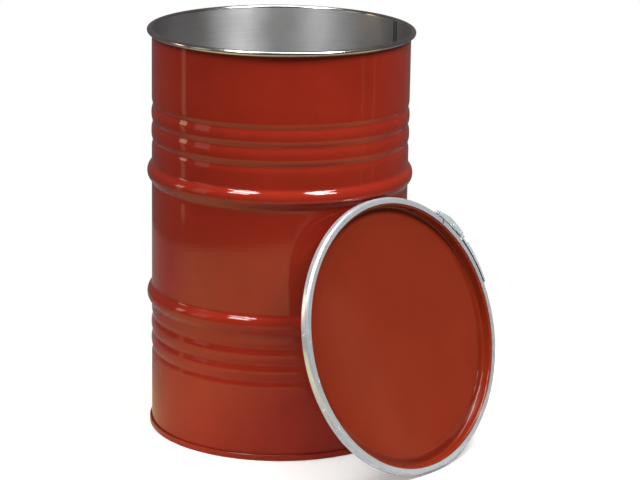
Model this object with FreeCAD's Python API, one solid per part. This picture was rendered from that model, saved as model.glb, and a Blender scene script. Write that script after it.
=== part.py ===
import FreeCAD, Part
import math
import os

# Open-head steel drum standing on its chime, its lid leaning against it.
# Frame: +Z up along the drum, origin at the centre of the chime's standing face. Millimetres.

# --- drum shell: one rolled sheet ---
wall_gauge = 1.0
wall_outer_r = 286.75
drum_height = 911.0
curl_tube_r = 5.9
curl_turn = 300.0
hoop_heights = [307.4, 588.0]
hoop_rise = 10.25
hoop_foot_r = 11.7
hoop_crown_r = 24.0
groove_heights = [179.0, 217.0, 255.0, 658.0, 700.0, 740.0]
groove_depth = 2.6
land_rise = 0.8
groove_foot_r = 40.0
groove_crown_r = 8.0
grooves_per_band = 3

# --- bottom chime: head folded round the shell's foot ---
head_gauge = 1.0
seam_gap = 0.1
shell_hook_gap = 1.4
shell_hook_top = 9.5
shell_fold_z = 3.0
head_hook_outer_r = 287.95
head_hook_tip = 5.0
chime_inner_face_r = 290.4
chime_top_turn_z = 11.275
chime_corner_r = 1.5
head_floor_z = 20.0
head_corner_r = 6.0
seal_inner_r = 288.25
seal_outer_r = 290.1
seal_bottom_z = 9.8
seal_top_z = 11.1

# --- lid, in its own frame: axis +Z out of its top face, zero at the closing ring's front ---
lid_gauge = 1.0
lid_skirt_r = 299.2
lid_skirt_low = -9.0
lid_rim_z = -1.6
lid_rim_corner_r = 3.0
lid_well_r = 283.6
lid_well_z = -23.0
lid_well_corner_r = 3.5
lid_moat_width = 2.0
lid_shoulder_turn = 18.0
lid_shoulder_r = 20.0
lid_panel_rise = 4.0
gasket_inner_r = 287.3
gasket_outer_r = 295.9
gasket_thickness = 2.4
gasket_gap = 0.05

# --- closing ring ---
ring_gauge = 1.2
ring_outer_r = 302.0
ring_width = 17.6
ring_back_corner_r = 3.0
ring_front_corner_r = 6.0
ring_front_inner_r = 288.4
ring_back_inner_r = 290.5
ring_gap_at = 43.0
ring_half_gap = 0.34
ring_bend_at = 176.0
ring_bend_gap = 0.03

# --- latch, centred across the ring; angles run clockwise from the lid's top ---
latch_mid = -ring_width / 2
lever_pin_at = (50.0, 311.0)
link_pin_at = (54.3, 311.0)
catch_pin_at = (41.0, 308.5)
lever_pin_r = 3.0
link_pin_r = 2.5
catch_pin_r = 2.5
fixed_gap = 0.02
running_gap = 0.06
link_half_width = 4.5
link_gauge = 1.2
lever_half_width = 6.5
lever_gauge = 1.5
ear_inner_half = 6.8
ear_gauge = 1.2
catch_ear_inner_half = 5.2
bracket_gauge = 1.2
weld_gap = 0.05
pin_head_r = 4.4
pin_head_thickness = 1.1
notch_clearance = 0.5
lever_ear_span = 5.2
catch_ear_span = 4.6

# --- lever: a curved channel handle, open outwards ---
lever_low_r = 304.5
lever_high_r = 313.0
lever_mid_r = 311.8
lever_tip_r = 308.5
lever_tip_at = 78.7
lever_heel_r = 5.5
lever_web_from = 57.4
lever_notch = (57.2, 60.0)
lever_notch_floor = 309.0

# --- link: two cheeks and a web, from the lever over to the hook on the catch pin ---
link_top_r = 320.5
link_end_at = 56.0
link_end_r = 319.0
link_arch_from = 46.0
link_low_r = 304.4
link_boss_r = 4.4
link_hook_from = 38.7
link_hook_top_r = 311.5
link_web_from = 40.2
link_web_to = 48.8
link_web_step = 1.0
link_notch_flare = 2.6
link_pin_sweep = (18.9, 27.3)
link_pin_slot_top = 315.4
cut_margin = 1.0
cut_margin_angle = 1.0

# --- where the lid leans ---
lid_azimuth = -42.81
lid_lean = 17.69
lid_centre = (275.15, -291.38, 292.3)

V = FreeCAD.Vector


def section(start, heading, moves, gauge):
    """Face of a folded sheet: one skin follows the moves, the other lies gauge to its left.

    A move is (length,) for a flat or (radius, turn) for a bend, left turns positive.
    """
    x, z = start
    a = math.radians(heading)
    near = []
    far = []
    points = []

    def left(angle):
        return V(-math.sin(angle), 0, math.cos(angle))

    p = V(x, 0, z)
    points.append((p, p + left(a) * gauge))
    for move in moves:
        if len(move) == 1:
            q = p + V(math.cos(a), 0, math.sin(a)) * move[0]
            off = left(a) * gauge
            near.append(Part.LineSegment(p, q).toShape())
            far.append(Part.LineSegment(p + off, q + off).toShape())
        else:
            radius, turn = move
            side = 1 if turn > 0 else -1
            centre = p + left(a) * (side * radius)
            mid_a = a + math.radians(turn) / 2
            end_a = a + math.radians(turn)
            arms = [left(angle) * -side for angle in (a, mid_a, end_a)]
            q = centre + arms[2] * radius
            near.append(Part.Arc(p, centre + arms[1] * radius, q).toShape())
            far_r = radius - side * gauge
            far.append(Part.Arc(*[centre + arm * far_r for arm in arms]).toShape())
            a = end_a
        p = q
        points.append((p, p + left(a) * gauge))
    caps = [Part.LineSegment(*points[0]).toShape(), Part.LineSegment(*points[-1]).toShape()]
    return Part.Face(Part.Wire(Part.__sortEdges__(near + far + caps)))


def turned(face):
    return face.revolve(V(0, 0, 0), V(0, 0, 1), 360)


def bead_half(height, foot_r, crown_r):
    """Bend angle and length along the wall of half a bead of this height."""
    reach = foot_r + crown_r
    angle = math.acos(1 - height / reach)
    return math.degrees(angle), reach * math.sin(angle)


def bead_list():
    """Beads from the foot up: height, rise below and above it, foot and crown radius, direction."""
    beads = [(z, hoop_rise, hoop_rise, hoop_foot_r, hoop_crown_r, 1) for z in hoop_heights]
    for i, z in enumerate(groove_heights):
        place = i % grooves_per_band
        below = groove_depth + (land_rise if place > 0 else 0)
        above = groove_depth + (land_rise if place < grooves_per_band - 1 else 0)
        beads.append((z, below, above, groove_foot_r, groove_crown_r, -1))
    return sorted(beads)


def wall_moves(start_z, end_z):
    moves = []
    z = start_z
    for centre_z, below, above, foot_r, crown_r, out in bead_list():
        low_turn, low_length = bead_half(below, foot_r, crown_r)
        high_turn, high_length = bead_half(above, foot_r, crown_r)
        moves.append((centre_z - low_length - z,))
        moves.append((foot_r, -out * low_turn))
        moves.append((crown_r, out * low_turn))
        moves.append((crown_r, out * high_turn))
        moves.append((foot_r, -out * high_turn))
        z = centre_z + high_length
    moves.append((end_z - z,))
    return moves


def drum_shell():
    """Hook at the foot, straight wall with hoops and grooves, and the outward curl at the mouth."""
    hook_r = wall_outer_r + shell_hook_gap
    moves = [(shell_hook_top - shell_fold_z,), (shell_hook_gap / 2, -180)]
    moves += wall_moves(shell_fold_z, drum_height - curl_tube_r)
    moves.append((curl_tube_r - wall_gauge, -curl_turn))
    return turned(section((hook_r, shell_hook_top), -90, moves, wall_gauge))


def bottom_head():
    """Disc whose rim runs down inside the shell, round under it, up outside and back down as a hook."""
    hook_turn_r = (chime_inner_face_r - head_hook_outer_r) / 2
    wall_face_r = wall_outer_r - wall_gauge - seam_gap
    moves = [
        (chime_top_turn_z - head_hook_tip,),
        (hook_turn_r, -180),
        (chime_top_turn_z - head_gauge - chime_corner_r,),
        (chime_corner_r, -90),
        (chime_inner_face_r - wall_face_r - 2 * chime_corner_r,),
        (chime_corner_r, -90),
        (head_floor_z - head_corner_r - head_gauge - chime_corner_r,),
        (head_corner_r, 90),
        (wall_face_r - head_corner_r,),
    ]
    return turned(section((head_hook_outer_r, head_hook_tip), 90, moves, head_gauge))


def tube(inner_r, outer_r, low, high):
    ring = Part.makeCylinder(outer_r, high - low, V(0, 0, low))
    return ring.cut(Part.makeCylinder(inner_r, high - low, V(0, 0, low)))


def bottom_seal():
    return tube(seal_inner_r, seal_outer_r, seal_bottom_z, seal_top_z)


def leaned(shape):
    """Carry a shape from the lid's own frame to where the lid leans."""
    az = math.radians(lid_azimuth)
    el = math.radians(lid_lean)
    n = V(math.cos(az) * math.cos(el), math.sin(az) * math.cos(el), math.sin(el))
    s = V(-math.sin(az), math.cos(az), 0)
    u = n.cross(s)
    c = V(*lid_centre)
    matrix = FreeCAD.Matrix(s.x, u.x, n.x, c.x, s.y, u.y, n.y, c.y, s.z, u.z, n.z, c.z, 0, 0, 0, 1)
    moved = shape.copy()
    moved.Placement = FreeCAD.Placement(matrix)
    return moved


def lid():
    """Rim that caps the drum's curl, wall down into the mouth, moat, and the raised flat panel."""
    turn = lid_shoulder_turn
    bends = 2 * lid_shoulder_r * (1 - math.cos(math.radians(turn)))
    slope = (lid_panel_rise - bends) / math.sin(math.radians(turn))
    shoulder_run = 2 * lid_shoulder_r * math.sin(math.radians(turn))
    shoulder_run += slope * math.cos(math.radians(turn))
    panel_r = lid_well_r - lid_well_corner_r - lid_moat_width - shoulder_run
    moves = [
        (lid_rim_z - lid_rim_corner_r - lid_skirt_low,),
        (lid_rim_corner_r, 90),
        (lid_skirt_r - lid_well_r - 2 * lid_rim_corner_r,),
        (lid_rim_corner_r, 90),
        (lid_rim_z - lid_rim_corner_r - lid_well_z - lid_well_corner_r,),
        (lid_well_corner_r, -90),
        (lid_moat_width,),
        (lid_shoulder_r, -turn),
        (slope,),
        (lid_shoulder_r, turn),
        (panel_r,),
    ]
    return leaned(turned(section((lid_skirt_r, lid_skirt_low), 90, moves, lid_gauge)))


def lid_gasket():
    top = lid_rim_z - lid_gauge - gasket_gap
    return leaned(tube(gasket_inner_r, gasket_outer_r, top - gasket_thickness, top))


def ring_arc(first, last):
    """Length of the closing ring's channel between two angles."""
    moves = [
        (ring_outer_r - ring_back_corner_r - ring_back_inner_r,),
        (ring_back_corner_r, 90),
        (ring_width - ring_back_corner_r - ring_front_corner_r,),
        (ring_front_corner_r, 90),
        (ring_outer_r - ring_front_corner_r - ring_front_inner_r,),
    ]
    face = section((ring_back_inner_r, -ring_width), 0, moves, ring_gauge)
    face.rotate(V(0, 0, 0), V(0, 0, 1), 90 - last)
    return leaned(face.revolve(V(0, 0, 0), V(0, 0, 1), last - first))


def ring_lever_half():
    return ring_arc(ring_gap_at + ring_half_gap, ring_bend_at - ring_bend_gap)


def ring_catch_half():
    return ring_arc(ring_bend_at - 360 + ring_bend_gap, ring_gap_at - ring_half_gap)


def at(angle, r, z=0.0):
    """Point on the lid's face at an angle clockwise from its top."""
    a = math.radians(angle)
    return V(r * math.sin(a), r * math.cos(a), z)


def arc(*stations):
    return Part.Arc(*[at(*station) for station in stations]).toShape()


def line(*stations):
    return Part.LineSegment(*[at(*station) for station in stations]).toShape()


def slab(edges, low_half, high_half):
    """Outline raised into two plates, one each side of the latch's middle plane."""
    face = Part.Face(Part.Wire(Part.__sortEdges__(edges)))
    thickness = high_half - low_half
    front = face.copy()
    front.translate(V(0, 0, latch_mid + low_half))
    back = face.copy()
    back.translate(V(0, 0, latch_mid - high_half))
    return [front.extrude(V(0, 0, thickness)), back.extrude(V(0, 0, thickness))]


def web(edges, half):
    """Outline raised into one plate across the latch's middle plane."""
    face = Part.Face(Part.Wire(Part.__sortEdges__(edges)))
    face.translate(V(0, 0, latch_mid - half))
    return face.extrude(V(0, 0, 2 * half))


def disc(station, radius, half):
    return Part.makeCylinder(radius, 2 * half, at(*station, latch_mid - half))


def band(first, last, low_r, high_r):
    mid = (first + last) / 2
    return [
        arc((first, low_r), (mid, low_r), (last, low_r)),
        line((last, low_r), (last, high_r)),
        arc((last, high_r), (mid, high_r), (first, high_r)),
        line((first, high_r), (first, low_r)),
    ]


def ears(station, half_span, ear_inner, hole_r):
    """Bracket: curved foot on the ring and two ears with a round head about the pin."""
    angle, pin_r = station
    half_angle = math.degrees(half_span / ring_outer_r)
    foot_r = ring_outer_r + weld_gap
    first = angle - half_angle
    last = angle + half_angle
    outline = [
        arc((first, foot_r), (angle, foot_r), (last, foot_r)),
        line((last, foot_r), (last, pin_r)),
        arc((last, pin_r), (angle, pin_r + half_span), (first, pin_r)),
        line((first, pin_r), (first, foot_r)),
    ]
    ear_outer = ear_inner + ear_gauge
    parts = slab(outline, ear_inner, ear_outer)
    foot = web(band(first, last, foot_r, foot_r + bracket_gauge), ear_outer)
    body = foot.fuse(parts).removeSplitter()
    return leaned(body.cut(disc(station, hole_r, 2 * ear_outer)))


def lever_bracket():
    return ears(lever_pin_at, lever_ear_span, ear_inner_half, lever_pin_r + fixed_gap)


def catch_bracket():
    return ears(catch_pin_at, catch_ear_span, catch_ear_inner_half, catch_pin_r + fixed_gap)


def headed_pin(station, radius, grip_half):
    shank = disc(station, radius, grip_half + pin_head_thickness)
    for side in (-1, 1):
        low = latch_mid + side * grip_half
        if side < 0:
            low -= pin_head_thickness
        shank = shank.fuse(Part.makeCylinder(pin_head_r, pin_head_thickness, at(*station, low)))
    return leaned(shank.removeSplitter())


def lever_pin():
    return headed_pin(lever_pin_at, lever_pin_r, ear_inner_half + ear_gauge + weld_gap)


def link_pin():
    return headed_pin(link_pin_at, link_pin_r, lever_half_width + weld_gap)


def catch_pin():
    return headed_pin(catch_pin_at, catch_pin_r, catch_ear_inner_half + ear_gauge + weld_gap)


def lever():
    """Curved channel handle, open outwards; its cheeks carry both pins."""
    pin_angle, pin_r = lever_pin_at
    start = pin_angle
    middle = (start + lever_tip_at) / 2
    heel = math.degrees(lever_heel_r / pin_r)
    outline = [
        arc((start, pin_r - lever_heel_r), (start - heel, pin_r), (start, pin_r + lever_heel_r)),
        arc((start, pin_r + lever_heel_r), (middle, lever_mid_r), (lever_tip_at, lever_tip_r)),
        line((lever_tip_at, lever_tip_r), (lever_tip_at, lever_low_r)),
        arc((lever_tip_at, lever_low_r), (middle, lever_low_r), (start, pin_r - lever_heel_r)),
    ]
    inner_half = lever_half_width - lever_gauge
    cheeks = slab(outline, inner_half, lever_half_width)
    low = lever_low_r + weld_gap
    floor_band = band(lever_web_from, lever_tip_at, low, low + lever_gauge)
    tip_width = math.degrees(lever_gauge / lever_low_r)
    tip_band = band(lever_tip_at - tip_width, lever_tip_at, low, lever_tip_r - weld_gap)
    body = web(floor_band, lever_half_width - weld_gap)
    body = body.fuse([web(tip_band, lever_half_width - weld_gap)] + cheeks)
    notch = web(band(*lever_notch, lever_notch_floor, lever_high_r + cut_margin),
                lever_half_width + cut_margin)
    body = body.cut(notch)
    body = body.cut(disc(lever_pin_at, lever_pin_r + running_gap, lever_half_width + cut_margin))
    body = body.cut(disc(link_pin_at, link_pin_r + fixed_gap, lever_half_width + cut_margin))
    return leaned(body)


def link_outline():
    pin_angle, pin_r = link_pin_at
    boss_low = pin_r - link_boss_r
    boss_half = math.degrees(link_boss_r / pin_r)
    inner = pin_angle - math.degrees(link_pin_sweep[0] / pin_r)
    top_middle = (link_arch_from + link_end_at) / 2
    return [
        arc((link_arch_from, link_top_r), (top_middle, link_top_r), (link_end_at, link_end_r)),
        line((link_end_at, link_end_r), (pin_angle + boss_half, pin_r)),
        arc((pin_angle + boss_half, pin_r),
            (pin_angle + boss_half * 0.7071, pin_r - link_boss_r * 0.7071), (pin_angle, boss_low)),
        line((pin_angle, boss_low), (inner, boss_low)),
        line((inner, boss_low), (inner, link_low_r)),
        arc((inner, link_low_r), ((inner + link_hook_from) / 2, link_low_r),
            (link_hook_from, link_low_r)),
        line((link_hook_from, link_low_r), (link_hook_from, link_hook_top_r)),
        line((link_hook_from, link_hook_top_r), (link_arch_from, link_top_r)),
    ]


def link_pin_slot():
    """Opening round the lever pin, bounded by circles about the link pin that it swings clear on."""
    pin_angle, pin_r = link_pin_at
    near, far = link_pin_sweep
    first = pin_angle - math.degrees(far / pin_r) - cut_margin_angle
    last = pin_angle - math.degrees(near / pin_r) + cut_margin_angle
    half = link_half_width + cut_margin
    block = web(band(first, last, link_low_r - cut_margin, link_pin_slot_top), half)
    return block.common(disc(link_pin_at, far, half + cut_margin)).cut(
        disc(link_pin_at, near, half + cut_margin))


def link_web():
    """Plate between the cheeks, sloping up from the hook and then level with their top."""
    top_r = link_top_r - weld_gap
    under_r = link_top_r - link_gauge
    slope_r = link_hook_top_r + link_web_step
    middle = link_web_to - link_web_step
    return web([
        line((link_web_from, slope_r), (link_arch_from, under_r)),
        arc((link_arch_from, under_r), (middle, under_r), (link_web_to, under_r)),
        line((link_web_to, under_r), (link_web_to, top_r)),
        arc((link_web_to, top_r), (middle, top_r), (link_arch_from, top_r)),
        line((link_arch_from, top_r), (link_web_from, slope_r + link_gauge)),
        line((link_web_from, slope_r + link_gauge), (link_web_from, slope_r)),
    ], link_half_width - weld_gap)


def catch_notch():
    """Round seat over the catch pin and its mouth, flared towards the hook's end."""
    seat_r = catch_pin_r + notch_clearance
    angle, r = catch_pin_at
    half = math.degrees(seat_r / r)
    flare = math.degrees(link_notch_flare / r)
    mouth_r = link_low_r - cut_margin
    mouth = [
        line((angle - half, r), (angle - half - flare, mouth_r)),
        line((angle - half - flare, mouth_r), (angle + half, mouth_r)),
        line((angle + half, mouth_r), (angle + half, r)),
        line((angle + half, r), (angle - half, r)),
    ]
    width = link_half_width + cut_margin
    return web(mouth, width).fuse(disc(catch_pin_at, seat_r, width))


def link():
    """Two cheeks round the lever pin, a web near the hooked end, and the notch over the catch pin."""
    cheeks = slab(link_outline(), link_half_width - link_gauge, link_half_width)
    body = link_web().fuse(cheeks)
    body = body.cut(catch_notch())
    body = body.cut(link_pin_slot())
    body = body.cut(disc(link_pin_at, link_pin_r + running_gap, link_half_width + cut_margin))
    return leaned(body)


PARTS = [
    drum_shell, bottom_head, bottom_seal,
    lid, lid_gasket, ring_catch_half, catch_bracket, catch_pin,
    ring_lever_half, lever_bracket, lever_pin,
    lever, link_pin, link,
]

os.makedirs("parts", exist_ok=True)
for make in PARTS:
    make().exportStep("parts/" + make.__name__ + ".step")
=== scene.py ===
import math

import bmesh
import bpy
from mathutils import Matrix, Vector


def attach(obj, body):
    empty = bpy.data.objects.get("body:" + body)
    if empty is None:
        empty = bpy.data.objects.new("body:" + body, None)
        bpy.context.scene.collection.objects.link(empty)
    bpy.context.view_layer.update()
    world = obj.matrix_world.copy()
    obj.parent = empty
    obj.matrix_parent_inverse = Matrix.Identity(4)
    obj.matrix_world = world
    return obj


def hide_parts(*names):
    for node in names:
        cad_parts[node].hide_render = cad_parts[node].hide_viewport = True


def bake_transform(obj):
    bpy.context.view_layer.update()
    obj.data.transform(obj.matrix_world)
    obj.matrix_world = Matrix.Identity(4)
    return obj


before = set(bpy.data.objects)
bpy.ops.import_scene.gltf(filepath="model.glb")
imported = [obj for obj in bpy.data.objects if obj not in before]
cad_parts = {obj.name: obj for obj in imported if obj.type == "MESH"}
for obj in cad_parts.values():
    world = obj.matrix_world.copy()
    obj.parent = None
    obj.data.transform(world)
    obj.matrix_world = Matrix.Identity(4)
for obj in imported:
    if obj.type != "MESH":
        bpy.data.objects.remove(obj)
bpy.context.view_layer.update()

MM = 0.001
FULL = 360.0
AROUND = 320
BEND_STEP = 7.0
FLAT_STEP = 14.0

# --- sizes in millimetres, the same as the solids ---
WALL = 1.0
WALL_R = 286.75
HEIGHT = 911.0
CURL_R = 5.9
CURL_TURN = 300.0
CURL_FOOT = HEIGHT - 2 * CURL_R
PAINT_BELOW_CURL = 0.8
HOOPS = [307.4, 588.0]
HOOP_RISE = 10.25
HOOP_FOOT_R = 11.7
HOOP_CROWN_R = 24.0
GROOVES = [179.0, 217.0, 255.0, 658.0, 700.0, 740.0]
GROOVES_PER_BAND = 3
GROOVE_DEPTH = 2.6
GROOVE_FOOT_R = 40.0
GROOVE_CROWN_R = 8.0
LAND_RISE = 0.8
SEAM_AZIMUTH = 26.1

LID_AZIMUTH = math.radians(-42.81)
LID_LEAN = math.radians(17.69)
LID_CENTRE = Vector((275.15, -291.38, 292.3)) * MM
LID_GAUGE = 1.0
RING_WIDTH = 17.6
RING_GAUGE = 1.2
SPLIT = (42.66, 43.34)

WELD_DISTANCE = 1e-6
SHARP_ANGLE = math.radians(35)


def lid_matrix():
    n = Vector((math.cos(LID_AZIMUTH) * math.cos(LID_LEAN),
                math.sin(LID_AZIMUTH) * math.cos(LID_LEAN), math.sin(LID_LEAN)))
    s = Vector((-math.sin(LID_AZIMUTH), math.cos(LID_AZIMUTH), 0))
    u = n.cross(s)
    turned = Matrix((s, u, n)).transposed().to_4x4()
    return Matrix.Translation(LID_CENTRE) @ turned


LID_FRAME = lid_matrix()
DRUM_FRAME = Matrix.Identity(4)


# --- folded sheet sections, revolved ---
def skins(start, heading, moves, gauge):
    """Both skins of a folded sheet as lists of (r, z): one follows the moves, the other lies left."""
    x, z = start
    a = math.radians(heading)
    near = []
    far = []

    def put():
        near.append((x, z))
        far.append((x - math.sin(a) * gauge, z + math.cos(a) * gauge))

    put()
    for move in moves:
        if len(move) == 1:
            steps = max(1, int(move[0] / FLAT_STEP))
            for _ in range(steps):
                x += math.cos(a) * move[0] / steps
                z += math.sin(a) * move[0] / steps
                put()
        else:
            radius, turn = move
            side = 1 if turn > 0 else -1
            cx = x - math.sin(a) * side * radius
            cz = z + math.cos(a) * side * radius
            steps = max(3, int(abs(turn) / BEND_STEP))
            for _ in range(steps):
                a += math.radians(turn) / steps
                x = cx + math.sin(a) * side * radius
                z = cz - math.cos(a) * side * radius
                put()
    return near, far


def bead_half(height, foot_r, crown_r):
    """Turn in degrees and length along the wall of one side of a bead."""
    angle = math.acos(1 - height / (foot_r + crown_r))
    return math.degrees(angle), (foot_r + crown_r) * math.sin(angle)


def beads():
    """Hoops and grooves from the floor up: (z, rise below, rise above, foot radius, crown radius, side).
    The lands between a band's grooves stand a little proud of the wall."""
    found = [(z, HOOP_RISE, HOOP_RISE, HOOP_FOOT_R, HOOP_CROWN_R, 1) for z in HOOPS]
    for i, z in enumerate(GROOVES):
        place = i % GROOVES_PER_BAND
        below = GROOVE_DEPTH + (LAND_RISE if place > 0 else 0)
        above = GROOVE_DEPTH + (LAND_RISE if place < GROOVES_PER_BAND - 1 else 0)
        found.append((z, below, above, GROOVE_FOOT_R, GROOVE_CROWN_R, -1))
    return sorted(found)


def wall_moves(start_z, end_z):
    moves = []
    z = start_z
    for centre, below, above, foot_r, crown_r, out in beads():
        low_turn, low_length = bead_half(below, foot_r, crown_r)
        high_turn, high_length = bead_half(above, foot_r, crown_r)
        moves += [(centre - low_length - z,), (foot_r, -out * low_turn),
                  (crown_r, out * low_turn), (crown_r, out * high_turn), (foot_r, -out * high_turn)]
        z = centre + high_length
    return moves + [(end_z - z,)]


def revolve(name, loop, slots, materials, place, first=0.0, last=FULL):
    """Closed section of (r, z) turned about the local axis, from first to last degrees clockwise
    from local +Y. slots gives each section edge its material."""
    whole = last - first >= FULL
    count = AROUND if whole else max(8, int(AROUND * (last - first) / FULL)) + 1
    verts = []
    for i in range(count):
        a = math.radians(first + (last - first) * i / (count if whole else count - 1))
        verts += [(r * math.sin(a) * MM, r * math.cos(a) * MM, z * MM) for r, z in loop]
    n = len(loop)
    faces = []
    index = []
    for i in range(count if whole else count - 1):
        j = (i + 1) % count
        for k in range(n):
            m = (k + 1) % n
            faces.append((i * n + k, j * n + k, j * n + m, i * n + m))
            index.append(slots[k])
    if not whole:
        faces.append(tuple(range(n)))
        faces.append(tuple((count - 1) * n + k for k in reversed(range(n))))
        index += [slots[0], slots[0]]
    return make_mesh(name, verts, faces, index, materials, place)


def make_mesh(name, verts, faces, index, materials, place):
    mesh = bpy.data.meshes.new(name)
    mesh.from_pydata(verts, [], faces)
    for m in materials:
        mesh.materials.append(m)
    mesh.polygons.foreach_set("material_index", index)
    spun = mesh.attributes.new("spun", "FLOAT_VECTOR", "POINT")
    spun.data.foreach_set("vector", [c for v in verts for c in v])
    mesh.transform(place)
    bm = bmesh.new()
    bm.from_mesh(mesh)
    bmesh.ops.remove_doubles(bm, verts=bm.verts, dist=WELD_DISTANCE)
    bmesh.ops.recalc_face_normals(bm, faces=bm.faces)
    bm.to_mesh(mesh)
    bm.free()
    mesh.polygons.foreach_set("use_smooth", [True] * len(mesh.polygons))
    mesh.set_sharp_from_angle(angle=SHARP_ANGLE)
    obj = bpy.data.objects.new(name, mesh)
    bpy.context.scene.collection.objects.link(obj)
    return obj


# --- materials ---
def material(name):
    m = bpy.data.materials.new(name)
    m.use_nodes = True
    nodes = m.node_tree.nodes
    return m, nodes, m.node_tree.links, nodes["Principled BSDF"]


def coords(nodes, links, source, scale):
    """Texture position: the object's own, the turned section's, or the latter as (x, y, radius + z)."""
    mapping = nodes.new("ShaderNodeMapping")
    mapping.inputs["Scale"].default_value = scale
    if source == "band":
        attribute = nodes.new("ShaderNodeAttribute")
        attribute.attribute_name = "spun"
        split = nodes.new("ShaderNodeSeparateXYZ")
        links.new(attribute.outputs["Vector"], split.inputs["Vector"])
        flat = nodes.new("ShaderNodeVectorMath")
        flat.operation = "MULTIPLY"
        flat.inputs[1].default_value = (1, 1, 0)
        links.new(attribute.outputs["Vector"], flat.inputs[0])
        radius = nodes.new("ShaderNodeVectorMath")
        radius.operation = "LENGTH"
        links.new(flat.outputs["Vector"], radius.inputs[0])
        across = nodes.new("ShaderNodeMath")
        across.operation = "ADD"
        links.new(radius.outputs["Value"], across.inputs[0])
        links.new(split.outputs["Z"], across.inputs[1])
        join = nodes.new("ShaderNodeCombineXYZ")
        links.new(split.outputs["X"], join.inputs["X"])
        links.new(split.outputs["Y"], join.inputs["Y"])
        links.new(across.outputs[0], join.inputs["Z"])
        links.new(join.outputs["Vector"], mapping.inputs["Vector"])
    elif source == "spun":
        attribute = nodes.new("ShaderNodeAttribute")
        attribute.attribute_name = "spun"
        links.new(attribute.outputs["Vector"], mapping.inputs["Vector"])
    else:
        texture = nodes.new("ShaderNodeTexCoord")
        links.new(texture.outputs["Object"], mapping.inputs["Vector"])
    return mapping.outputs["Vector"]


def noise(nodes, links, vector, scale, detail, rough=0.5):
    n = nodes.new("ShaderNodeTexNoise")
    n.inputs["Scale"].default_value = scale
    n.inputs["Detail"].default_value = detail
    n.inputs["Roughness"].default_value = rough
    links.new(vector, n.inputs["Vector"])
    return n.outputs["Fac"]


def ramp(nodes, links, value, low, high, from_low=0.3, from_high=0.7):
    """Value spread to the range from low to high."""
    r = nodes.new("ShaderNodeMapRange")
    r.inputs["From Min"].default_value = from_low
    r.inputs["From Max"].default_value = from_high
    r.inputs["To Min"].default_value = low
    r.inputs["To Max"].default_value = high
    links.new(value, r.inputs["Value"])
    return r.outputs["Result"]


def colours(nodes, links, value, stops):
    r = nodes.new("ShaderNodeValToRGB")
    r.color_ramp.elements[0].position = stops[0][0]
    r.color_ramp.elements[0].color = (*stops[0][1], 1)
    r.color_ramp.elements[1].position = stops[-1][0]
    r.color_ramp.elements[1].color = (*stops[-1][1], 1)
    for position, colour in stops[1:-1]:
        e = r.color_ramp.elements.new(position)
        e.color = (*colour, 1)
    links.new(value, r.inputs["Fac"])
    return r.outputs["Color"]


def bump(nodes, links, heights, bsdf):
    """Chain of bumps, each (height, distance in metres, strength)."""
    last = None
    for height, distance, strength in heights:
        b = nodes.new("ShaderNodeBump")
        b.inputs["Distance"].default_value = distance
        b.inputs["Strength"].default_value = strength
        links.new(height, b.inputs["Height"])
        if last is not None:
            links.new(last, b.inputs["Normal"])
        last = b.outputs["Normal"]
    links.new(last, bsdf.inputs["Normal"])


def paint(name, dark, light, rough=(0.05, 0.09)):
    """Gloss enamel: cloudy film, orange peel and a slow waviness of the sheet under it."""
    m, nodes, links, bsdf = material(name)
    plain = coords(nodes, links, "spun", (1, 1, 1))
    cloud = noise(nodes, links, plain, 7.0, 5.0, 0.6)
    links.new(colours(nodes, links, cloud, [(0.3, dark), (0.7, light)]), bsdf.inputs["Base Color"])
    grime = noise(nodes, links, plain, 24.0, 6.0, 0.7)
    links.new(ramp(nodes, links, grime, *rough), bsdf.inputs["Roughness"])
    peel = noise(nodes, links, plain, 420.0, 2.0)
    wave = noise(nodes, links, coords(nodes, links, "spun", (1, 1, 0.45)), 9.0, 2.0)
    bump(nodes, links, [(wave, 0.0012, 0.35), (peel, 0.00004, 0.5)], bsdf)
    bsdf.inputs["IOR"].default_value = 1.5
    bsdf.inputs["Specular IOR Level"].default_value = 0.4
    return m


def steel(name, dark, light, rough, grain=(2.5, 2.5, 900.0), grain_bump=0.00002, source="spun",
          mottle=16.0, streak=0.0, metal=1.0, painted_shade_reach=0.0):
    """Bare metal with fine lines along the rolling direction and a faint mottle, plus painted shade: a
    nonzero reach darkens the base colour to near-black where ambient occlusion finds surfaces close by.
    """
    m, nodes, links, bsdf = material(name)
    lines = noise(nodes, links, coords(nodes, links, source, grain), 1.0, 4.0, 0.6)
    patch = noise(nodes, links, coords(nodes, links, source, (1, 1, 1)), mottle, 5.0, 0.6)
    mix = nodes.new("ShaderNodeMath")
    mix.operation = "ADD"
    links.new(ramp(nodes, links, lines, 0.0, 0.55), mix.inputs[0])
    links.new(ramp(nodes, links, patch, 0.0, 0.45), mix.inputs[1])
    colour = colours(nodes, links, mix.outputs[0], [(0.1, dark), (0.9, light)])
    # Painted shade: ambient occlusion within the given reach turns the base colour near-black in gaps
    # and crevices, standing in for shadow.
    if painted_shade_reach:
        shade_occlusion = nodes.new("ShaderNodeAmbientOcclusion")
        shade_occlusion.inputs["Distance"].default_value = painted_shade_reach
        painted_shade = nodes.new("ShaderNodeMixRGB")
        painted_shade.inputs["Color1"].default_value = (0.006, 0.008, 0.012, 1)
        links.new(ramp(nodes, links, shade_occlusion.outputs["AO"], 0, 1, 0.35, 0.85), painted_shade.inputs["Fac"])
        links.new(colour, painted_shade.inputs["Color2"])
        colour = painted_shade.outputs["Color"]
    links.new(colour, bsdf.inputs["Base Color"])
    links.new(ramp(nodes, links, patch, *rough), bsdf.inputs["Roughness"])
    if grain_bump:
        bump(nodes, links, [(lines, grain_bump, 0.6)], bsdf)
    bsdf.inputs["Metallic"].default_value = metal
    if streak:
        tangent = nodes.new("ShaderNodeTangent")
        tangent.direction_type = "RADIAL"
        tangent.axis = "Z"
        links.new(tangent.outputs["Tangent"], bsdf.inputs["Tangent"])
        bsdf.inputs["Anisotropic"].default_value = streak
        bsdf.inputs["Anisotropic Rotation"].default_value = 0.25
    return m


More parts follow.
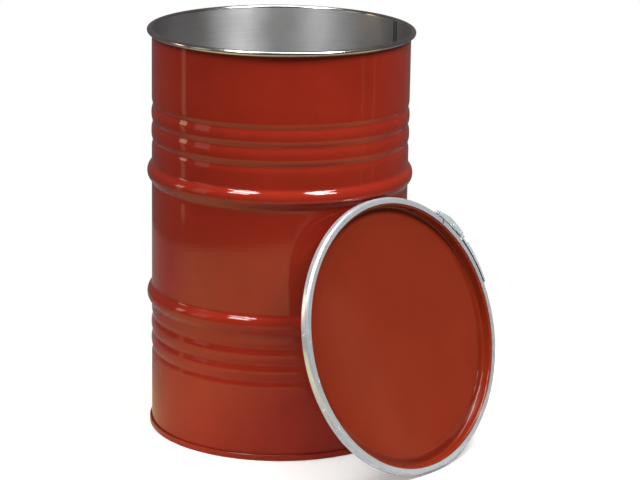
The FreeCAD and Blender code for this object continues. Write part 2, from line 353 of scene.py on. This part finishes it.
def rubber(name, dark, light):
    m, nodes, links, bsdf = material(name)
    cells = noise(nodes, links, coords(nodes, links, "object", (1, 1, 1)), 600.0, 4.0, 0.7)
    links.new(colours(nodes, links, cells, [(0.3, dark), (0.7, light)]), bsdf.inputs["Base Color"])
    links.new(ramp(nodes, links, cells, 0.75, 0.95), bsdf.inputs["Roughness"])
    bump(nodes, links, [(cells, 0.0002, 0.5)], bsdf)
    return m


shell_paint = paint("shell_paint", (0.245, 0.0155, 0.007), (0.285, 0.02, 0.0085))
lid_paint = paint("lid_paint", (0.193, 0.019, 0.0065), (0.217, 0.022, 0.0075), (0.08, 0.13))
inner_steel = steel("inner_steel", (0.38, 0.38, 0.385), (0.48, 0.48, 0.49), (0.46, 0.52), streak=0.75)
pressed_steel = steel("pressed_steel", (0.28, 0.28, 0.285), (0.38, 0.38, 0.39), (0.24, 0.34),
                      (1.5, 400.0, 1.5))
curl_steel = steel("curl_steel", (0.4, 0.4, 0.42), (0.58, 0.58, 0.6), (0.13, 0.2), grain_bump=0)
# Ring, latch and pin steel carry painted shade in their gaps and crevices through ambient occlusion.
ring_steel = steel("ring_steel", (0.6, 0.66, 0.73), (0.78, 0.83, 0.9), (0.2, 0.28),
                   (4.0, 4.0, 700.0), 0, "band", mottle=60.0, metal=0.62, painted_shade_reach=0.011)
latch_steel = steel("latch_steel", (0.62, 0.7, 0.76), (0.74, 0.81, 0.86), (0.34, 0.44),
                    (300.0, 300.0, 300.0), 0.00001, "object", 90.0, metal=0.5, painted_shade_reach=0.007)
pin_steel = steel("pin_steel", (0.6, 0.66, 0.71), (0.72, 0.77, 0.81), (0.45, 0.55),
                  (900.0, 900.0, 900.0), 0.00002, "object", 200.0, metal=0.4, painted_shade_reach=0.004)
weld_dark = steel("weld_dark", (0.02, 0.02, 0.022), (0.05, 0.05, 0.052), (0.35, 0.5))
weld_light = steel("weld_light", (0.2, 0.2, 0.21), (0.34, 0.34, 0.35), (0.25, 0.4),
                   (60.0, 60.0, 500.0), 0.00005)
gasket_rubber = rubber("gasket_rubber", (0.015, 0.015, 0.016), (0.04, 0.04, 0.042))
seam_compound = rubber("seam_compound", (0.09, 0.08, 0.06), (0.15, 0.13, 0.1))


def slot_pattern(near, far, near_slot, far_slot):
    """Section loop that goes out along one skin and back along the other, with its materials."""
    loop = near + list(reversed(far))
    slots = [near_slot(p) for p in near[:-1]] + [near_slot(near[-1])]
    slots += [far_slot(p) for p in list(reversed(far))[1:]] + [near_slot(near[0])]
    return loop, slots


def shell_skins():
    """Hook at the foot, grooved wall and rolled curl, as one folded sheet."""
    hook_gap = 1.4
    hook_top = 9.5
    hook_length = 6.5
    moves = [(hook_length,), (hook_gap / 2, -180)]
    moves += wall_moves(hook_top - hook_length, HEIGHT - CURL_R)
    moves.append((CURL_R - WALL, -CURL_TURN))
    return skins((WALL_R + hook_gap, hook_top), -90, moves, WALL)


def build_shell():
    near, far = shell_skins()
    loop, slots = slot_pattern(near, far, lambda p: 0 if p[1] < CURL_FOOT - PAINT_BELOW_CURL else 2,
                               lambda p: 1 if p[1] < CURL_FOOT else 2)
    shell = revolve("shell_wall", loop, slots, [shell_paint, inner_steel, curl_steel], DRUM_FRAME)
    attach(shell, "drum")
    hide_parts("drum_shell")


def build_head():
    """Pressed disc whose rim is folded round the shell's foot."""
    hook_r = 287.95
    hook_foot = 5.0
    hook_length = 6.275
    fold_r = 1.225
    outer_length = 8.775
    chime_r = 1.5
    chime_width = 1.75
    wall_length = 11.5
    corner_r = 6.0
    disc_r = 279.65
    moves = [(hook_length,), (fold_r, -180), (outer_length,), (chime_r, -90), (chime_width,),
             (chime_r, -90), (wall_length,), (corner_r, 90), (disc_r,)]
    near, far = skins((hook_r, hook_foot), 90, moves, WALL)
    loop, slots = slot_pattern(near, far, lambda p: 1, lambda p: 0)
    head = revolve("bottom_disc", loop, slots, [shell_paint, pressed_steel], DRUM_FRAME)
    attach(head, "drum")
    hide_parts("bottom_head")


def build_side_seam():
    """Welded lap on the inner wall: a low bright band between two dark heat lines."""
    near, far = shell_skins()
    seam_foot = 24.0
    into_curl = 6
    hoop_room = 12
    inner = [p for p in far if seam_foot < p[1] < CURL_FOOT + into_curl
             and p[0] < WALL_R + hoop_room]
    offsets = [-8.0, -7.2, -3.4, -2.6, 2.6, 3.4, 7.2, 8.0]
    lifts = [0.08, 0.12, 0.14, 0.4, 0.4, 0.14, 0.12, 0.08]
    kinds = [0, 0, 1, 1, 1, 0, 0]
    verts = []
    for r, z in inner:
        for offset, lift in zip(offsets, lifts):
            a = math.radians(SEAM_AZIMUTH) + offset / WALL_R
            verts.append(((r - lift) * math.cos(a) * MM, (r - lift) * math.sin(a) * MM, z * MM))
    n = len(offsets)
    faces = []
    index = []
    for i in range(len(inner) - 1):
        for k in range(n - 1):
            faces.append((i * n + k, i * n + k + 1, (i + 1) * n + k + 1, (i + 1) * n + k))
            index.append(kinds[k])
    seam = make_mesh("side_weld", verts, faces, index, [weld_dark, weld_light], DRUM_FRAME)
    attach(seam, "drum")


def build_lid():
    """Rolled rim, countersunk wall, narrow moat and a raised panel with a soft shoulder."""
    rim_r = 299.2
    rim_foot = -9.0
    skirt = 4.4
    rim_bend = 3.0
    rim_width = 9.6
    wall_depth = 14.9
    wall_bend = 3.5
    wall_r = 283.6
    turn = 18.0
    bend = 20.0
    rise = 4.0
    moat = 2.0
    slope = (rise - 2 * bend * (1 - math.cos(math.radians(turn)))) / math.sin(math.radians(turn))
    run = 2 * bend * math.sin(math.radians(turn)) + slope * math.cos(math.radians(turn))
    moves = [(skirt,), (rim_bend, 90), (rim_width,), (rim_bend, 90), (wall_depth,), (wall_bend, -90),
             (moat,), (bend, -turn), (slope,), (bend, turn), (wall_r - wall_bend - moat - run,)]
    near, far = skins((rim_r, rim_foot), 90, moves, LID_GAUGE)
    loop, slots = slot_pattern(near, far, lambda p: 0, lambda p: 1)
    lid = revolve("lid_plate", loop, slots, [lid_paint, pressed_steel], LID_FRAME)
    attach(lid, "lid")
    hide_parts("lid")


def ring_section():
    """Channel open towards the axis: back lip, band and front lip."""
    inner_r = 290.5
    back_lip = 8.5
    back_corner_r = 3.0
    band = 8.6
    front_corner_r = 6.0
    front_lip = 7.6
    moves = [(back_lip,), (back_corner_r, 90), (band,), (front_corner_r, 90), (front_lip,)]
    near, far = skins((inner_r, -RING_WIDTH), 0, moves, RING_GAUGE)
    return slot_pattern(near, far, lambda p: 0, lambda p: 0)


def build_ring():
    """One band split at the latch, made as two pieces that meet at 186 degrees; the catch side goes with
    the lid.
    """
    loop, slots = ring_section()
    meet = 186.0
    fixed = revolve("ring_catch_side", loop, slots, [ring_steel], LID_FRAME, meet - FULL, SPLIT[0])
    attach(fixed, "lid")
    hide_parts("ring_catch_half")
    opening = revolve("ring_lever_side", loop, slots, [ring_steel], LID_FRAME, SPLIT[1], meet)
    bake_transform(opening)
    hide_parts("ring_lever_half")


def dress(nodes_to_slots):
    """Give the solids' own meshes their materials."""
    for node, m in nodes_to_slots.items():
        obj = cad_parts[node]
        obj.data.materials.clear()
        obj.data.materials.append(m)


build_shell()
build_head()
build_side_seam()
build_lid()
build_ring()
dress({
    "bottom_seal": seam_compound, "lid_gasket": gasket_rubber, "catch_bracket": latch_steel,
    "catch_pin": pin_steel, "lever_bracket": latch_steel, "lever_pin": pin_steel,
    "lever": latch_steel, "link_pin": pin_steel, "link": latch_steel,
})


# --- studio ---
FLOOR_R = 0.8
FLOOR_GLOW = 0.25
CARD_R = 2.0
CARD_NEAR = (0.26, 0.24, 0.22)
CARD_GLOW = (0.92, 0.78, 0.36)
LID_FOOT = (0.25, -0.35, 0.0)
SHEET_CENTRE = (0.1, -0.1)
WORLD_FRONT = (0.14, 0.12, 0.08)
WORLD_BACK = (0.14, 0.125, 0.12)
MIDDLE_HEIGHT = 0.45
BOX_DISTANCE = 3.6
STRIP_DISTANCE = 3.4
STRIP_ELEVATION = -2.5
STRIP_HEIGHT = 1.2
STRIP_POWER = 3.0
STRIP_COLOUR = (1.0, 0.75, 0.4)
FILL_COLOUR = (1.0, 0.75, 0.5)
AIM = (0.05, 0, 0.5)
CAMERA_PLACE = (0, -5.4738, 1.8956)
LENS = 141.1


def round_sheet(name, radius, height):
    count = 96
    verts = [(radius * math.cos(math.tau * i / count), radius * math.sin(math.tau * i / count), 0)
             for i in range(count)]
    mesh = bpy.data.meshes.new(name)
    mesh.from_pydata(verts, [], [tuple(range(count))])
    sheet = bpy.data.objects.new(name, mesh)
    bpy.context.scene.collection.objects.link(sheet)
    sheet.location = (*SHEET_CENTRE, height)
    m, nodes, links, bsdf = material(name + "_paper")
    bsdf.inputs["Roughness"].default_value = 0.9
    mesh.materials.append(m)
    return sheet, bsdf, nodes, links


def build_floor():
    """Pale round sheet to stand on, and a wider warm card under it that only reflections see."""
    floor, bsdf = round_sheet("floor", FLOOR_R, -0.0005)[:2]
    bsdf.inputs["Base Color"].default_value = (0.93, 0.93, 0.93, 1)
    bsdf.inputs["Emission Color"].default_value = (1, 1, 1, 1)
    bsdf.inputs["Emission Strength"].default_value = FLOOR_GLOW
    floor.visible_glossy = False
    card, bsdf, nodes, links = round_sheet("card", CARD_R, -0.0015)
    bsdf.inputs["Base Color"].default_value = (0.0, 0.0, 0.0, 1)
    place = nodes.new("ShaderNodeTexCoord")
    split = nodes.new("ShaderNodeSeparateXYZ")
    links.new(place.outputs["Object"], split.inputs["Vector"])
    front = ramp(nodes, links, split.outputs["Y"], 1, 0, -0.3, 0.5)
    off = nodes.new("ShaderNodeVectorMath")
    off.operation = "DISTANCE"
    off.inputs[1].default_value = LID_FOOT
    links.new(place.outputs["Object"], off.inputs[0])
    both = nodes.new("ShaderNodeMath")
    both.operation = "MULTIPLY"
    links.new(front, both.inputs[0])
    links.new(ramp(nodes, links, off.outputs["Value"], 0, 1, 0.3, 0.85), both.inputs[1])
    glow = colours(nodes, links, both.outputs[0], [(0.0, CARD_NEAR), (1.0, CARD_GLOW)])
    links.new(glow, bsdf.inputs["Emission Color"])
    bsdf.inputs["Emission Strength"].default_value = 1.0
    card.visible_camera = False
    card.visible_diffuse = False
    card.visible_shadow = False


def area_light(name, position, target, size, power, colour=(1, 1, 1)):
    data = bpy.data.lights.new(name, "AREA")
    data.shape = "RECTANGLE"
    data.size, data.size_y = size
    data.energy = power
    data.color = colour
    lamp = bpy.data.objects.new(name, data)
    lamp.location = position
    lamp.rotation_mode = "QUATERNION"
    lamp.rotation_quaternion = (Vector(target) - Vector(position)).to_track_quat("-Z", "Y")
    bpy.context.scene.collection.objects.link(lamp)
    return lamp


def around(azimuth, elevation, distance):
    """Point seen from the drum; azimuth 0 is the camera's side, positive to its right."""
    a = math.radians(azimuth)
    e = math.radians(elevation)
    return (distance * math.sin(a) * math.cos(e), -distance * math.cos(a) * math.cos(e),
            MIDDLE_HEIGHT + distance * math.sin(e))


def build_world():
    """Pale for the camera; for everything else dim, and a little brighter behind."""
    world = bpy.data.worlds.new("studio")
    bpy.context.scene.world = world
    world.use_nodes = True
    nodes, links = world.node_tree.nodes, world.node_tree.links
    nodes.clear()
    out = nodes.new("ShaderNodeOutputWorld")
    direction = nodes.new("ShaderNodeTexCoord")
    split = nodes.new("ShaderNodeSeparateXYZ")
    links.new(direction.outputs["Generated"], split.inputs["Vector"])
    behind = colours(nodes, links, ramp(nodes, links, split.outputs["Y"], 0, 1, -0.3, 0.7),
                     [(0.0, WORLD_FRONT), (1.0, WORLD_BACK)])
    room = nodes.new("ShaderNodeBackground")
    links.new(behind, room.inputs["Color"])
    seen = nodes.new("ShaderNodeBackground")
    seen.inputs["Color"].default_value = (1, 1, 1, 1)
    path = nodes.new("ShaderNodeLightPath")
    mix = nodes.new("ShaderNodeMixShader")
    links.new(path.outputs["Is Camera Ray"], mix.inputs["Fac"])
    links.new(room.outputs[0], mix.inputs[1])
    links.new(seen.outputs[0], mix.inputs[2])
    links.new(mix.outputs[0], out.inputs["Surface"])


def build_camera():
    yaw, pitch, roll = 0.0169, -0.2624, 0.0169
    forward = Vector((math.sin(yaw) * math.cos(pitch), math.cos(yaw) * math.cos(pitch),
                      math.sin(pitch)))
    level = Vector((math.cos(yaw), -math.sin(yaw), 0))
    rise = level.cross(forward)
    right = level * math.cos(roll) + rise * math.sin(roll)
    up = rise * math.cos(roll) - level * math.sin(roll)
    data = bpy.data.cameras.new("camera")
    data.lens = LENS
    data.sensor_width = 36.0
    data.clip_start = 0.1
    data.clip_end = 200.0
    camera = bpy.data.objects.new("camera", data)
    camera.matrix_world = Matrix.Translation(CAMERA_PLACE) @ Matrix(
        (right, up, -forward)).transposed().to_4x4()
    bpy.context.scene.collection.objects.link(camera)
    bpy.context.scene.camera = camera


def build_lights():
    """Soft boxes in front, a wash from above, and low warm strips beside the drum for its edges."""
    for side, azimuth, power in (("left", -41, 38), ("right", 47, 60)):
        for strip, elevation in (("upper", 58), ("lower", 47)):
            area_light("soft_" + side + "_" + strip, around(azimuth, elevation, BOX_DISTANCE), AIM,
                       (1.0, 0.42), power)
    area_light("side_left", around(-70, 20, STRIP_DISTANCE), AIM, (0.9, 2.2), 4)
    area_light("top_wash", (0, -0.2, 4.2), AIM, (3.0, 1.9), 110)
    area_light("fill_left", around(-92, 14, STRIP_DISTANCE), AIM, (0.5, 0.9), 6, FILL_COLOUR)
    for side, azimuth, width in (("left", -92, 0.3), ("right", 87, 0.05), ("right_front", 74, 0.05)):
        area_light("strip_" + side, around(azimuth, STRIP_ELEVATION, STRIP_DISTANCE), AIM,
                   (width, STRIP_HEIGHT), STRIP_POWER * width, STRIP_COLOUR)


build_floor()
build_world()
build_lights()
build_camera()
scene = bpy.context.scene
scene.view_settings.view_transform = "Standard"
scene.view_settings.look = "None"
